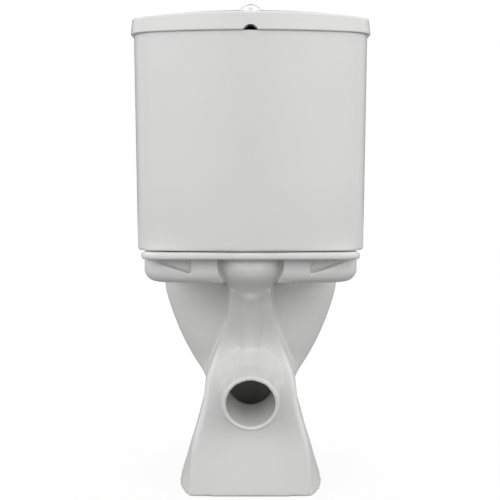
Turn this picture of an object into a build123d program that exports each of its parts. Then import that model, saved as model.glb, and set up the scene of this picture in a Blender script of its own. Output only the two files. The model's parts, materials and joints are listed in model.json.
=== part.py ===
from build123d import *
import os
from math import cos, radians, sin, sqrt, tan

# A close coupled toilet in millimetres: +Z up, floor at Z = 0, bowl nose towards -Y.
# Places along the depth are given as distances from the wall, which is the rearmost
# face of the cistern lid. Places across are given from the middle plane.

OVERALL_DEPTH = 650.0

# Pan: rim and cistern shelf
PAN_WIDTH = 360.0
RIM_TOP = 405.0
RIM_DROP = 33.0
RIM_REAR = 45.0
RIM_NOSE_SETBACK = 5.0
RIM_NOSE_LENGTH = 245.0
RIM_CORNER = 60.0
RIM_UNDER_FILLET = 21.0
RIM_TOP_FILLET = 8.0
RIM_WALL = 22.0
OPENING_WIDTH = 260.0
OPENING_REAR = 264.0
OPENING_WIDEST = 400.0
OPENING_REACH = 0.841
SHELF_TOP = 425.0
SHELF_THICK = 12.0
SHELF_WIDTH = 359.0
SHELF_REAR = 14.0
SHELF_FRONT = 176.0
SHELF_CORNER = 30.0
SHELF_BULGE_RADIUS = 76.0
SHELF_FILLET = 3.0
PLATFORM_THICK = 20.0
POCKET_OUTER = 166.0
POCKET_INNER = 98.0
POCKET_DROP = 25.0
POCKET_END_DROP = 2.0
POCKET_DEPTH = 15.0
CHINA_WALL = 12.0

# Pan: water ways
INLET_FROM_WALL = 84.0
INLET_CUP_RADIUS = 46.0
INLET_CUP_DEPTH = 27.0
INLET_WELL_RADIUS = 31.0
INLET_WELL_DEPTH = 8.0
INLET_BOSS_RADIUS = 53.0
BOSS_GROOVE = 1.5
BOSS_GROOVE_END = 72.0
FLUSH_WAY_RADIUS = 13.0
FLUSH_WAY_START = 400.0
FLUSH_WAY_END = 374.0
FLUSH_DUCT_RADIUS = 21.0
SPIGOT_DIAMETER = 97.0
SPIGOT_BORE = 82.0
SPIGOT_ROOT_DIAMETER = 120.0
SPIGOT_STRAIGHT = 52.0
SPIGOT_LENGTH = 118.0
SPIGOT_TILT = 12.0
SPIGOT_FROM_WALL = 60.0
SPIGOT_HEIGHT = 170.5
SPIGOT_LIP = 2.5
TRAP_WEIR_FROM_WALL = 184.0
TRAP_DIP_FROM_WALL = 330.0
TRAP_DIP_HEIGHT = 40.0
TRAP_START_FROM_WALL = 405.0
TRAP_START_HEIGHT = 165.0
TRAP_BEND = 58.0
TRAP_WALL = 11.0

# Pan: holes for fasteners
TANK_BOLT_SPACING = 160.0
TANK_BOLT_HOLE = 11.0
FILL_HOLE_FROM_MIDDLE = 130.0
FILL_ACCESS_HOLE = 46.0
SEAT_BOLT_SPACING = 155.0
SEAT_BOLT_FROM_WALL = 196.0
SEAT_BOLT_HOLE = 15.0
FOOT_SCREW_SPACING = 208.0
FOOT_SCREW_FROM_WALL = 345.0
FOOT_SCREW_HOLE = 12.0
FOOT_SCREW_POCKET = 26.0
FOOT_SCREW_SEAT = 18.0
FOOT_SCREW_RIM = 4.0
FOOT_SCREW_BOSS = 60.0

# Cistern
TANK_TOP_WIDTH = 389.0
TANK_TOP_DEPTH = 158.0
TANK_FOOT_WIDTH = 376.0
TANK_FOOT_DEPTH = 146.0
TANK_HEIGHT = 356.5
TANK_GAP = 1.5
TANK_BOW_RADIUS = 520.0
TANK_CORNER = 45.0
TANK_WALL = 9.0
TANK_FLOOR = 12.0
TANK_FOOT_FILLET = 4.5
FLUSH_HOLE = 64.0
FILL_HOLE = 25.0
LID_OVERHANG = 5.0
LID_RISE = 40.6
LID_DRAFT = 4.0
LID_CROWN_ACROSS = 1500.0
LID_CROWN_ALONG = 312.0
LID_TOP_FILLET = 5.0
LID_FOOT_FILLET = 2.0
LID_LIP_DROP = 8.0
LID_LIP_CLEARANCE = 2.5
LID_LIP_THICK = 5.5
LID_HOLLOW = 15.0
LID_NOTCH_WIDTH = 23.0
LID_NOTCH_HEIGHT = 9.0

# Flush buttons
BUTTON_HOLE = 40.0
BUTTON_SPOT_DEPTH = 1.2
BEZEL_DIAMETER = 47.0
BEZEL_HEIGHT = 5.0
BEZEL_TUBE = 38.8
BEZEL_TUBE_LENGTH = 46.0
BEZEL_WEB = 3.0
BUTTON_DIAMETER = 34.4
BUTTON_GAP = 0.3
BUTTON_SHANK = 15.0
BUTTON_DOME = 9.0
BUTTON_SPLIT = 5.0
BUTTON_SPLIT_GAP = 0.6
BUTTON_TRAVEL = 7.0
BUTTON_NUT_DIAMETER = 54.0
BUTTON_NUT_THICK = 9.0
PUSH_ROD = 5.0
PUSH_ROD_TIP = 1.8
FULL_ROD_OFFSET = -6.0
HALF_ROD_OFFSET = 11.0
SPRING_COIL = 8.0
SPRING_WIRE = 0.9
SPRING_TURNS = 7

# Flush valve
SEAL_THICK = 3.0
VALVE_FLANGE = 88.0
VALVE_FLANGE_THICK = 5.0
VALVE_TAIL = 60.0
VALVE_TAIL_BORE = 50.0
VALVE_TAIL_DROP = 31.0
VALVE_SEAT_RISE = 4.0
VALVE_SEAT_WALL = 3.0
VALVE_HOUSING = 80.0
VALVE_HOUSING_WALL = 4.0
VALVE_WINDOW_HEIGHT = 52.0
VALVE_WINDOW_WIDTH = 40.0
VALVE_HEIGHT = 198.0
VALVE_NUT = 80.0
VALVE_NUT_THICK = 12.0
COUPLING_SEAL = 90.0
STEM_DIAMETER = 26.0
STEM_BORE = 21.0
STEM_RISE = 28.0
STEM_DISC = 54.0
STEM_DISC_THICK = 4.0
ROCKER_PIN_ACROSS = 22.0
ROCKER_PIN_DIAMETER = 4.0
ROCKER_PIN_RISE = 54.0
ROCKER_HUB = 10.0
ROCKER_BAR = 5.0
ROCKER_WIDTH = 6.0
ROCKER_REACH = 30.0
ROCKER_GAP = 0.5
CHEEK_THICK = 2.5
CHEEK_WIDTH = 12.0
ARM_RISE = 14.0
ARM_THICK = 5.0

# Fill valve
INLET_THREAD = 20.96
INLET_DROP = 57.0
FILL_SHANK = 22.6
FILL_SHANK_END = 3.0
FILL_FLANGE = 36.0
FILL_FLANGE_THICK = 4.0
FILL_RISER = 24.0
FILL_HEIGHT = 192.0
FILL_HEAD = 40.0
FILL_HEAD_HEIGHT = 25.0
FILL_NUT_FLATS = 30.0
FILL_NUT_THICK = 9.0
FLOAT_DIAMETER = 60.0
FLOAT_HEIGHT = 70.0
FLOAT_WALL = 2.0
FLOAT_CLEARANCE = 1.0
FLOAT_TRAVEL = 10.0
FLOAT_STOP = 34.0
FLOAT_STOP_THICK = 3.0
FLOAT_STOP_RISE = 92.0
FLOAT_LINK = 5.0
FLOAT_LINK_OFFSET = 26.0
LEVER_PIVOT_OFFSET = 12.0
LEVER_PIN = 3.0
LEVER_BAR = 4.0
LEVER_WIDTH = 8.0
LEVER_GAP = 1.0

# Cistern bolts
BOLT_DIAMETER = 8.0
BOLT_HEAD = 18.0
BOLT_HEAD_THICK = 5.0
BOLT_SLOT = 2.0
BOLT_END_DROP = 28.0
BOLT_SEAL = 26.0
BOLT_SEAL_THICK = 6.0
BOLT_SPACER = 28.0
BOLT_SPACER_THICK = 4.0
BOLT_SPACER_GAP = 0.5
BOLT_WASHER = 24.0
BOLT_WASHER_THICK = 2.0
THREAD_CLEARANCE = 0.1
WING_HUB = 16.0
WING_HEIGHT = 12.0
WING_SPAN = 34.0
WING_THICK = 4.0

# Seat and cover
SEAT_WIDTH = 368.0
SEAT_REAR = 242.0
SEAT_NOSE_LENGTH = 250.0
SEAT_CORNER = 70.0
SEAT_THICK = 17.0
SEAT_ROUND = 6.5
SEAT_HOLE_WIDTH = 226.0
SEAT_HOLE_REAR = 300.0
SEAT_HOLE_WIDEST = 412.0
SEAT_HOLE_REACH = 0.672
SEAT_BUFFER = 6.0
SEAT_BUFFER_LENGTH = 30.0
SEAT_BUFFER_WIDTH = 12.0
REAR_PADS_SPACING = 300.0
REAR_PADS_FROM_WALL = 330.0
FRONT_PADS_SPACING = 276.0
FRONT_PADS_BEHIND_NOSE = 150.0
COVER_GAP = 3.0
COVER_RISE = 21.0
COVER_LIP = 14.0
COVER_RECESS = 5.0
COVER_CROWN_ACROSS = 5600.0
COVER_CROWN_ALONG = 2600.0
COVER_ROUND = 6.0
COVER_BUFFER = 12.0
HINGE_FROM_WALL = 228.0
HINGE_RISE = 21.0
HINGE_PIN = 9.0
HINGE_HUB = 18.0
HINGE_POST_WIDTH = 18.0
HINGE_BASE = 30.0
HINGE_BASE_THICK = 6.0
HINGE_KNUCKLE = 18.0
HINGE_GAP = 0.6
HINGE_CLEARANCE = 0.3
HINGE_STUD = 8.0
HINGE_STUD_DROP = 41.0
HINGE_WASHER = 26.0
HINGE_WASHER_THICK = 7.0

HALF_TURN = 180

REAR_Y = OVERALL_DEPTH / 2
RIM_NOSE = OVERALL_DEPTH - RIM_NOSE_SETBACK
RIM_BOTTOM = RIM_TOP - RIM_DROP
SHELF_BOTTOM = SHELF_TOP - SHELF_THICK
TANK_BOTTOM = SHELF_TOP + TANK_GAP
SPACER_LOW = TANK_BOTTOM - BOLT_SPACER_THICK
TANK_INSIDE = TANK_BOTTOM + TANK_FLOOR
TANK_TOP = TANK_BOTTOM + TANK_HEIGHT
LID_TOP = TANK_TOP + LID_RISE
LID_CEILING = TANK_TOP + LID_HOLLOW
BEZEL_SEAT = LID_TOP - BUTTON_SPOT_DEPTH
BEZEL_END = BEZEL_SEAT - BEZEL_TUBE_LENGTH
BUTTON_SHOULDER = BEZEL_SEAT + BEZEL_HEIGHT + 1
BUTTON_UNDER = BUTTON_SHOULDER - BUTTON_SHANK
SEAL_TOP = TANK_INSIDE + SEAL_THICK
VALVE_FLANGE_TOP = SEAL_TOP + VALVE_FLANGE_THICK
VALVE_SEAT = VALVE_FLANGE_TOP + VALVE_SEAT_RISE
VALVE_TOP = VALVE_FLANGE_TOP + VALVE_HEIGHT
ROCKER_AXIS = VALVE_TOP + ROCKER_PIN_RISE
ROD_END = ROCKER_AXIS + ROCKER_BAR / 2 + ROCKER_GAP
FULL_ROD_FROM_WALL = INLET_FROM_WALL + FULL_ROD_OFFSET
HALF_ROD_FROM_WALL = INLET_FROM_WALL + HALF_ROD_OFFSET
STEM_BOTTOM = VALVE_SEAT + SEAL_THICK
STEM_TOP = VALVE_TOP + STEM_RISE
FILL_BASE = SEAL_TOP + FILL_FLANGE_THICK
FILL_TOP = FILL_BASE + FILL_HEIGHT
FILL_HEAD_TOP = FILL_TOP + FILL_HEAD_HEIGHT
FLOAT_LOW = FILL_BASE + FLOAT_STOP_RISE
LEVER_AXIS = FILL_HEAD_TOP + LEVER_GAP + LEVER_BAR / 2
SEAT_LOW = RIM_TOP + SEAT_BUFFER
SEAT_TOP = SEAT_LOW + SEAT_THICK
COVER_LOW = SEAT_TOP + COVER_GAP
COVER_TOP = COVER_LOW + COVER_RISE
SEAT_NOSE = OVERALL_DEPTH
FRONT_PADS_FROM_WALL = SEAT_NOSE - FRONT_PADS_BEHIND_NOSE
HINGE_HEIGHT = RIM_TOP + HINGE_RISE
SEAT_BOLT_ACROSS = SEAT_BOLT_SPACING / 2
PLATFORM_BOTTOM = RIM_TOP - PLATFORM_THICK

# Body of the pan, floor to rim: share of the rim's underside height, share of the
# pan's half width, distance from the wall of the rear and of the widest line, and how
# far the front comes as a share of the way from the widest line to the rim's nose.
BODY_SECTIONS = (
    (-0.1, 0.774, 122.0, 262.0, 0.611),
    (0.0, 0.711, 130.0, 262.0, 0.621),
    (0.121, 0.636, 140.0, 262.0, 0.632),
    (0.245, 0.561, 150.0, 264.0, 0.643),
    (0.35, 0.503, 165.0, 292.0, 0.635),
    (0.444, 0.469, 190.0, 335.0, 0.616),
    (0.532, 0.575, 248.0, 352.0, 0.659),
    (0.637, 0.712, 238.0, 370.0, 0.713),
    (0.74, 0.812, 228.0, 380.0, 0.785),
    (0.844, 0.89, 218.0, 385.0, 0.858),
    (0.925, 0.927, 210.0, 385.0, 0.911),
    (1.03, 0.944, 204.0, 385.0, 0.946),
)

# Water side of the bowl, described in the same way.
BOWL_SECTIONS = (
    (0.363, 0.244, 365.0, 405.0, 0.196),
    (0.444, 0.344, 345.0, 405.0, 0.338),
    (0.532, 0.478, 314.0, 400.0, 0.498),
    (0.637, 0.617, 279.0, 390.0, 0.624),
    (0.74, 0.717, 262.0, 385.0, 0.723),
    (0.844, 0.794, 250.0, 385.0, 0.8),
    (0.925, 0.839, 243.0, 385.0, 0.85),
    (1.01, 0.856, 238.0, 385.0, 0.885),
)

# Column of the trap with its rear panel: share of the rim's underside height, half
# width at the rear, rear from the wall, half width at the front, front from the wall,
# and how far the panel bows out towards the wall and each side bows outwards.
TRAP_SECTIONS = (
    (-0.1, 109.0, 119.0, 139.0, 262.0, 8.0, 9.0),
    (0.0, 105.5, 126.0, 127.0, 262.0, 6.0, 8.5),
    (0.121, 103.0, 128.0, 113.5, 262.0, 2.0, 6.0),
    (0.245, 98.5, 130.0, 100.0, 264.0, -2.0, 3.0),
    (0.315, 92.5, 132.0, 91.0, 280.0, -3.5, 2.0),
    (0.43, 82.0, 138.0, 83.0, 330.0, -6.0, 1.0),
    (0.548, 75.0, 147.0, 80.0, 345.0, -8.0, 1.0),
    (0.62, 65.5, 152.0, 70.0, 345.0, -9.0, 1.0),
    (0.712, 51.5, 145.0, 55.0, 345.0, -9.5, 1.0),
    (0.806, 41.0, 122.0, 43.0, 340.0, -9.5, 1.0),
    (0.9, 36.0, 96.0, 38.0, 330.0, -8.5, 1.0),
    (0.957, 35.0, 76.0, 36.0, 320.0, -7.5, 1.0),
)
TRAP_EDGE_ROUND = 9.0

# Boss under the inlet running into the column: height above the rim's underside,
# half width, half depth, distance of its middle from the wall.
BOSS_SECTIONS = (
    (SHELF_BOTTOM - RIM_BOTTOM, INLET_BOSS_RADIUS, INLET_BOSS_RADIUS, INLET_FROM_WALL),
    (28.0, 52.5, INLET_BOSS_RADIUS, INLET_FROM_WALL),
    (16.0, 50.0, 52.0, INLET_FROM_WALL + 0.5),
    (8.0, 46.5, 49.0, INLET_FROM_WALL + 3.0),
    (0.0, 42.5, 45.0, INLET_FROM_WALL + 9.0),
    (-8.0, 38.5, 39.0, INLET_FROM_WALL + 17.0),
    (-16.0, 36.0, 33.0, INLET_FROM_WALL + 23.0),
    (-30.0, 34.0, 27.0, INLET_FROM_WALL + 33.0),
)
COLUMN_RIB_RADIUS = 15.0
COLUMN_RIB_DEPTH = 12.5
COLUMN_RIB_BEND = 50.0


def at(across, from_wall, height):
    return Location((across, REAR_Y - from_wall, height))


def along_wall(from_wall, height):
    return Vector(0, REAR_Y - from_wall, height)


def box_between(across_low, across_high, wall_low, wall_high, low, high):
    block = Box(across_high - across_low, wall_high - wall_low, high - low)
    middle = at((across_low + across_high) / 2, (wall_low + wall_high) / 2, (low + high) / 2)
    return middle * block


def rod_up(radius, across, from_wall, low, high):
    shape = Cylinder(radius, high - low, align=(Align.CENTER, Align.CENTER, Align.MIN))
    return at(across, from_wall, low) * shape


def ring_up(outer, inner, across, from_wall, low, high):
    return rod_up(outer, across, from_wall, low, high) - rod_up(inner, across, from_wall, low, high)


def egg(height, half_width, rear, widest, front):
    middle = (0, REAR_Y - widest)
    back = EllipticalCenterArc(middle, half_width, widest - rear, 0, arc_size=HALF_TURN)
    nose = EllipticalCenterArc(middle, half_width, front - widest, HALF_TURN, arc_size=HALF_TURN)
    return Plane.XY.offset(height) * make_face([back, nose])


def front_at(widest, reach, nose):
    return widest + reach * (nose - widest)


def egg_section(share, half_share, rear, widest, reach, grow):
    half_width = half_share * PAN_WIDTH / 2 + grow
    front = front_at(widest, reach, RIM_NOSE) + grow
    return egg(share * RIM_BOTTOM, half_width, rear - grow, widest, front)


def egg_loft(sections, grow=0.0):
    return loft([egg_section(*section, grow) for section in sections])


def trap_section(height, half_rear, rear, half_front, front, bow, side_bow, inset=0.0):
    half_rear = half_rear - inset
    half_front = half_front - inset
    rear = rear + inset
    dip = REAR_Y - rear + bow
    belly = (half_rear + half_front) / 2 + side_bow
    middle = REAR_Y - (rear + front) / 2
    back_left = (-half_rear, REAR_Y - rear)
    back_right = (half_rear, REAR_Y - rear)
    front_left = (-half_front, REAR_Y - front)
    front_right = (half_front, REAR_Y - front)
    panel = ThreePointArc(back_right, (0, dip), back_left)
    left = ThreePointArc(back_left, (-belly, middle), front_left)
    inner = Line(front_left, front_right)
    right = ThreePointArc(front_right, (belly, middle), back_right)
    face = make_face([panel, left, inner, right])
    corners = face.vertices().sort_by(Axis.Y)[-2:]
    face = fillet(corners, TRAP_EDGE_ROUND - inset / 2)
    return Plane.XY.offset(height) * face


def trap_loft(sections, inset=0.0):
    faces = []
    for share, *sizes in sections:
        faces.append(trap_section(share * RIM_BOTTOM, *sizes, inset))
    return loft(faces)


def rim_outline(inset=0.0):
    half = PAN_WIDTH / 2 - inset
    turn = RIM_NOSE - RIM_NOSE_LENGTH
    rear = REAR_Y - RIM_REAR - inset
    length = RIM_NOSE_LENGTH - inset
    nose = EllipticalCenterArc((0, REAR_Y - turn), half, length, HALF_TURN, arc_size=HALF_TURN)
    back = Polyline((half, REAR_Y - turn), (half, rear), (-half, rear), (-half, REAR_Y - turn))
    face = make_face([nose, *back.edges()])
    corners = face.vertices().sort_by(Axis.Y)[-2:]
    return fillet(corners, RIM_CORNER - inset)


def spigot_plane():
    outward = Vector(0, cos(radians(SPIGOT_TILT)), -sin(radians(SPIGOT_TILT)))
    return Plane(along_wall(SPIGOT_FROM_WALL, SPIGOT_HEIGHT), x_dir=(1, 0, 0), z_dir=outward)


def spigot():
    straight = extrude(spigot_plane() * Circle(SPIGOT_DIAMETER / 2), -SPIGOT_STRAIGHT)
    mouth = straight.edges().filter_by(GeomType.CIRCLE).sort_by(Axis.Y)[-1]
    straight = fillet(mouth, SPIGOT_LIP)
    near = spigot_plane().offset(-SPIGOT_STRAIGHT) * Circle(SPIGOT_DIAMETER / 2)
    root = spigot_plane().offset(-SPIGOT_LENGTH) * Circle(SPIGOT_ROOT_DIAMETER / 2)
    return straight + loft([near, root])


def trap_path(mouth_extra=0.0):
    reach = TRAP_WEIR_FROM_WALL - SPIGOT_FROM_WALL
    weir = along_wall(TRAP_WEIR_FROM_WALL, SPIGOT_HEIGHT + reach * tan(radians(SPIGOT_TILT)))
    start = along_wall(TRAP_START_FROM_WALL, TRAP_START_HEIGHT)
    dip = along_wall(TRAP_DIP_FROM_WALL, TRAP_DIP_HEIGHT)
    end = spigot_plane().origin + spigot_plane().z_dir * mouth_extra
    return FilletPolyline(start, dip, weir, end, radius=TRAP_BEND)


def trap_tube(radius, mouth_extra=0.0):
    path = trap_path(mouth_extra)
    start = Plane(path @ 0, x_dir=(1, 0, 0), z_dir=path % 0)
    return sweep(start * Circle(radius), path)


def pan_outside():
    rim = extrude(Plane.XY.offset(RIM_BOTTOM) * rim_outline(), RIM_DROP)
    under = rim.edges().group_by(Axis.Z)[0]
    rim = fillet(under, RIM_UNDER_FILLET)
    rim = fillet(rim.edges().group_by(Axis.Z)[-1], RIM_TOP_FILLET)
    raised_low = RIM_TOP - RIM_DROP / 2
    raised = extrude(Plane.XY.offset(raised_low) * rim_outline(), SHELF_BOTTOM - raised_low)
    raised = raised & box_between(-PAN_WIDTH, PAN_WIDTH, 0, SHELF_FRONT, RIM_BOTTOM, SHELF_TOP)
    return rim + raised


def shelf_plate():
    depth = SHELF_FRONT - SHELF_REAR
    outline = RectangleRounded(SHELF_WIDTH, depth, SHELF_CORNER)
    middle = (SHELF_REAR + SHELF_FRONT) / 2
    outline = Pos(0, REAR_Y - middle) * outline
    outline += Pos(0, REAR_Y - INLET_FROM_WALL) * Circle(SHELF_BULGE_RADIUS)
    plate = extrude(Plane.XY.offset(SHELF_BOTTOM) * outline, SHELF_THICK)
    plate = fillet(plate.edges().group_by(Axis.Z)[-1], SHELF_FILLET)
    return fillet(plate.edges().group_by(Axis.Z)[0], SHELF_FILLET / 2)


def under_shelf_hollow():
    half = PAN_WIDTH / 2 - RIM_WALL
    rear = RIM_REAR + RIM_WALL
    deep = box_between(-half, half, rear, SHELF_FRONT - RIM_WALL / 2, RIM_BOTTOM - 1, SHELF_BOTTOM)
    low = box_between(-half, half, rear, OPENING_REAR - RIM_WALL, RIM_BOTTOM - 1, RIM_TOP - PLATFORM_THICK)
    inside = Plane.XY.offset(RIM_BOTTOM - 1) * rim_outline(RIM_WALL)
    return (deep + low) & extrude(inside, SHELF_BOTTOM - RIM_BOTTOM + 1)


def boss():
    faces = []
    for rise, half_width, half_depth, from_wall in BOSS_SECTIONS:
        faces.append(at(0, from_wall, RIM_BOTTOM + rise) * Ellipse(half_width, half_depth))
    return loft(faces)


def boss_groove():
    right = []
    for rise, half_width, *rest in BOSS_SECTIONS[:-2]:
        right.append((half_width + BOSS_GROOVE, RIM_BOTTOM + rise))
    left = [(-across, height) for across, height in right]
    top = Line(left[0], right[0])
    low = Line(right[-1], left[-1])
    face = make_face([Spline(*right), low, Spline(*left), top])
    plane = Plane(along_wall(0, 0), x_dir=(1, 0, 0), z_dir=(0, -1, 0))
    return extrude(plane * face, BOSS_GROOVE_END)


def boss_backing():
    half = INLET_BOSS_RADIUS + BOSS_GROOVE + CHINA_WALL
    far = BOSS_GROOVE_END + CHINA_WALL
    return box_between(-half, half, RIM_REAR + RIM_WALL / 2, far, RIM_BOTTOM, SHELF_BOTTOM)


def column_rib():
    points = []
    for share, half, rear, *rest in TRAP_SECTIONS[-5:]:
        points.append(along_wall(rear + COLUMN_RIB_DEPTH, share * RIM_BOTTOM))
    path = FilletPolyline(*points, radius=COLUMN_RIB_BEND)
    start = Plane(path @ 0, x_dir=(1, 0, 0), z_dir=path % 0)
    return sweep(start * Circle(COLUMN_RIB_RADIUS), path)


def shelf_pocket(side):
    inner = side * POCKET_INNER
    outer = side * POCKET_OUTER
    top = SHELF_BOTTOM + 1
    plane = Plane(along_wall(0, 0), x_dir=(1, 0, 0), z_dir=(0, -1, 0))
    low = SHELF_BOTTOM - POCKET_DROP
    end_low = SHELF_BOTTOM - POCKET_END_DROP
    face = make_face(Polyline((inner, top), (inner, low), (outer, end_low), (outer, top), close=True))
    return extrude(plane * face, RIM_REAR + POCKET_DEPTH)


def pan():
    body = egg_loft(BODY_SECTIONS)
    column = trap_loft(TRAP_SECTIONS)
    upper = pan_outside() - under_shelf_hollow()
    for side in (-1, 1):
        upper -= shelf_pocket(side)
    upper += boss_backing()
    upper -= boss_groove()
    upper += shelf_plate()
    way_start = along_wall(INLET_FROM_WALL, FLUSH_WAY_START)
    way = along_wall(OPENING_REAR, FLUSH_WAY_END) - way_start
    way_plane = Plane(way_start, x_dir=(1, 0, 0), z_dir=way)
    duct = extrude(way_plane * Circle(FLUSH_DUCT_RADIUS), way.length - CHINA_WALL)
    shape = upper + boss() + duct + body + column + column_rib() + spigot()

    hollow = egg_loft(BODY_SECTIONS[:6], -CHINA_WALL) + trap_loft(TRAP_SECTIONS[:6], CHINA_WALL)
    hollow -= egg_loft(BOWL_SECTIONS, CHINA_WALL)
    sump = egg_section(*BOWL_SECTIONS[0], CHINA_WALL)
    hollow -= Pos(0, 0, -CHINA_WALL) * extrude(sump, CHINA_WALL + 1)
    hollow -= trap_tube(SPIGOT_BORE / 2 + TRAP_WALL)
    for side in (-1, 1):
        screw = side * FOOT_SCREW_SPACING / 2
        boss_radius = FOOT_SCREW_POCKET / 2 + FOOT_SCREW_RIM
        hollow -= rod_up(boss_radius, screw, FOOT_SCREW_FROM_WALL, 0, FOOT_SCREW_BOSS)
    shape -= hollow

    opening_front = front_at(OPENING_WIDEST, OPENING_REACH, RIM_NOSE)
    opening = egg(RIM_BOTTOM - 4, OPENING_WIDTH / 2, OPENING_REAR, OPENING_WIDEST, opening_front)
    shape -= extrude(opening, RIM_DROP + 5)
    shape -= egg_loft(BOWL_SECTIONS)
    shape -= trap_tube(SPIGOT_BORE / 2, 1.0)
    shape -= extrude(way_plane * Circle(FLUSH_WAY_RADIUS), way.length)
    shape -= box_between(-PAN_WIDTH, PAN_WIDTH, 0, OVERALL_DEPTH, -RIM_BOTTOM, 0)

    shape -= rod_up(INLET_CUP_RADIUS, 0, INLET_FROM_WALL, SHELF_TOP - INLET_CUP_DEPTH, SHELF_TOP + 1)
    well_low = SHELF_TOP - INLET_CUP_DEPTH - INLET_WELL_DEPTH
    shape -= rod_up(INLET_WELL_RADIUS, 0, INLET_FROM_WALL, well_low, SHELF_TOP)
    under = SHELF_BOTTOM - 1
    over = SHELF_TOP + 1
    shape -= rod_up(FILL_ACCESS_HOLE / 2, FILL_HOLE_FROM_MIDDLE, INLET_FROM_WALL, under, over)
    for side in (-1, 1):
        bolt = side * TANK_BOLT_SPACING / 2
        shape -= rod_up(TANK_BOLT_HOLE / 2, bolt, INLET_FROM_WALL, under, over)
        recess = BOLT_SPACER / 2 + BOLT_SPACER_GAP
        shape -= rod_up(recess, bolt, INLET_FROM_WALL, SPACER_LOW, over)
        stud = side * SEAT_BOLT_ACROSS
        shape -= rod_up(SEAT_BOLT_HOLE / 2, stud, SEAT_BOLT_FROM_WALL, RIM_BOTTOM - 1, RIM_TOP + 1)
        screw = side * FOOT_SCREW_SPACING / 2
        shape -= rod_up(FOOT_SCREW_HOLE / 2, screw, FOOT_SCREW_FROM_WALL, -1, FOOT_SCREW_SEAT + 1)
        shape -= rod_up(FOOT_SCREW_POCKET / 2, screw, FOOT_SCREW_FROM_WALL, FOOT_SCREW_SEAT, RIM_BOTTOM / 3)
    return shape


def bowed_outline(width, depth, inset=0.0):
    half = width / 2 - inset
    reach = depth / 2 - inset
    bow = TANK_BOW_RADIUS - inset
    sag = bow - sqrt(bow * bow - half * half)
    rear = ThreePointArc((half, reach - sag), (0, reach), (-half, reach - sag))
    left = Line((-half, reach - sag), (-half, sag - reach))
    front = ThreePointArc((-half, sag - reach), (0, -reach), (half, sag - reach))
    right = Line((half, sag - reach), (half, reach - sag))
    face = make_face([rear, left, front, right])
    face = fillet(face.vertices(), TANK_CORNER - inset)
    return Pos(0, REAR_Y - INLET_FROM_WALL) * face


def crown(top, across, along, middle):
    ring = Torus(across - along, along)
    return at(0, middle, top - across) * (Rot(90, 0, 0) * ring)


def cistern_tank():
    foot = Plane.XY.offset(TANK_BOTTOM) * bowed_outline(TANK_FOOT_WIDTH, TANK_FOOT_DEPTH)
    top = Plane.XY.offset(TANK_TOP) * bowed_outline(TANK_TOP_WIDTH, TANK_TOP_DEPTH)
    shape = loft([foot, top])
    shape = fillet(shape.edges().group_by(Axis.Z)[0], TANK_FOOT_FILLET)
    share = TANK_FLOOR / TANK_HEIGHT
    width = TANK_FOOT_WIDTH + share * (TANK_TOP_WIDTH - TANK_FOOT_WIDTH)
    depth = TANK_FOOT_DEPTH + share * (TANK_TOP_DEPTH - TANK_FOOT_DEPTH)
    well_foot = Plane.XY.offset(TANK_INSIDE) * bowed_outline(width, depth, TANK_WALL)
    well_top = Plane.XY.offset(TANK_TOP) * bowed_outline(TANK_TOP_WIDTH, TANK_TOP_DEPTH, TANK_WALL)
    shape -= loft([well_foot, well_top])
    shape -= rod_up(FLUSH_HOLE / 2, 0, INLET_FROM_WALL, TANK_BOTTOM - 1, TANK_INSIDE + 1)
    shape -= rod_up(FILL_HOLE / 2, FILL_HOLE_FROM_MIDDLE, INLET_FROM_WALL, TANK_BOTTOM - 1, TANK_INSIDE + 1)
    for side in (-1, 1):
        bolt = side * TANK_BOLT_SPACING / 2
        shape -= rod_up(TANK_BOLT_HOLE / 2, bolt, INLET_FROM_WALL, TANK_BOTTOM - 1, TANK_INSIDE + 1)
    return shape


def lid_notch():
    low = TANK_TOP - 1
    half = LID_NOTCH_WIDTH / 2
    arch = EllipticalCenterArc((0, low), half, LID_NOTCH_HEIGHT + 1, 0, arc_size=HALF_TURN)
    face = make_face([arch, Line((-half, low), (half, low))])
    plane = Plane(along_wall(-1, 0), x_dir=(-1, 0, 0), z_dir=(0, 1, 0))
    return extrude(plane * face, -(TANK_WALL + LID_OVERHANG + LID_LIP_CLEARANCE + LID_LIP_THICK + 3))


def cistern_lid():
    width = TANK_TOP_WIDTH + 2 * LID_OVERHANG
    depth = TANK_TOP_DEPTH + 2 * LID_OVERHANG
    foot = Plane.XY.offset(TANK_TOP) * bowed_outline(width, depth)
    top = Plane.XY.offset(LID_TOP + 1) * bowed_outline(width, depth, LID_DRAFT)
    shape = loft([foot, top]) & crown(LID_TOP, LID_CROWN_ACROSS, LID_CROWN_ALONG, INLET_FROM_WALL)
    shape = fillet(shape.faces().sort_by(Axis.Z)[-1].edges(), LID_TOP_FILLET)
    shape = fillet(shape.edges().group_by(Axis.Z)[0], LID_FOOT_FILLET)
    lip_outer = TANK_WALL + LID_LIP_CLEARANCE
    lip_inner = lip_outer + LID_LIP_THICK
    lip = bowed_outline(TANK_TOP_WIDTH, TANK_TOP_DEPTH, lip_outer)
    shape += extrude(Plane.XY.offset(TANK_TOP - LID_LIP_DROP) * lip, LID_LIP_DROP + 1)
    hollow = bowed_outline(TANK_TOP_WIDTH, TANK_TOP_DEPTH, lip_inner)
    shape -= extrude(Plane.XY.offset(TANK_TOP - LID_LIP_DROP - 1) * hollow, LID_HOLLOW + LID_LIP_DROP + 1)
    shape -= lid_notch()
    shape -= rod_up(BUTTON_HOLE / 2, 0, INLET_FROM_WALL, TANK_TOP, LID_TOP + 1)
    shape -= rod_up(BEZEL_DIAMETER / 2 + BUTTON_GAP, 0, INLET_FROM_WALL, BEZEL_SEAT, LID_TOP + 1)
    return shape


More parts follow.
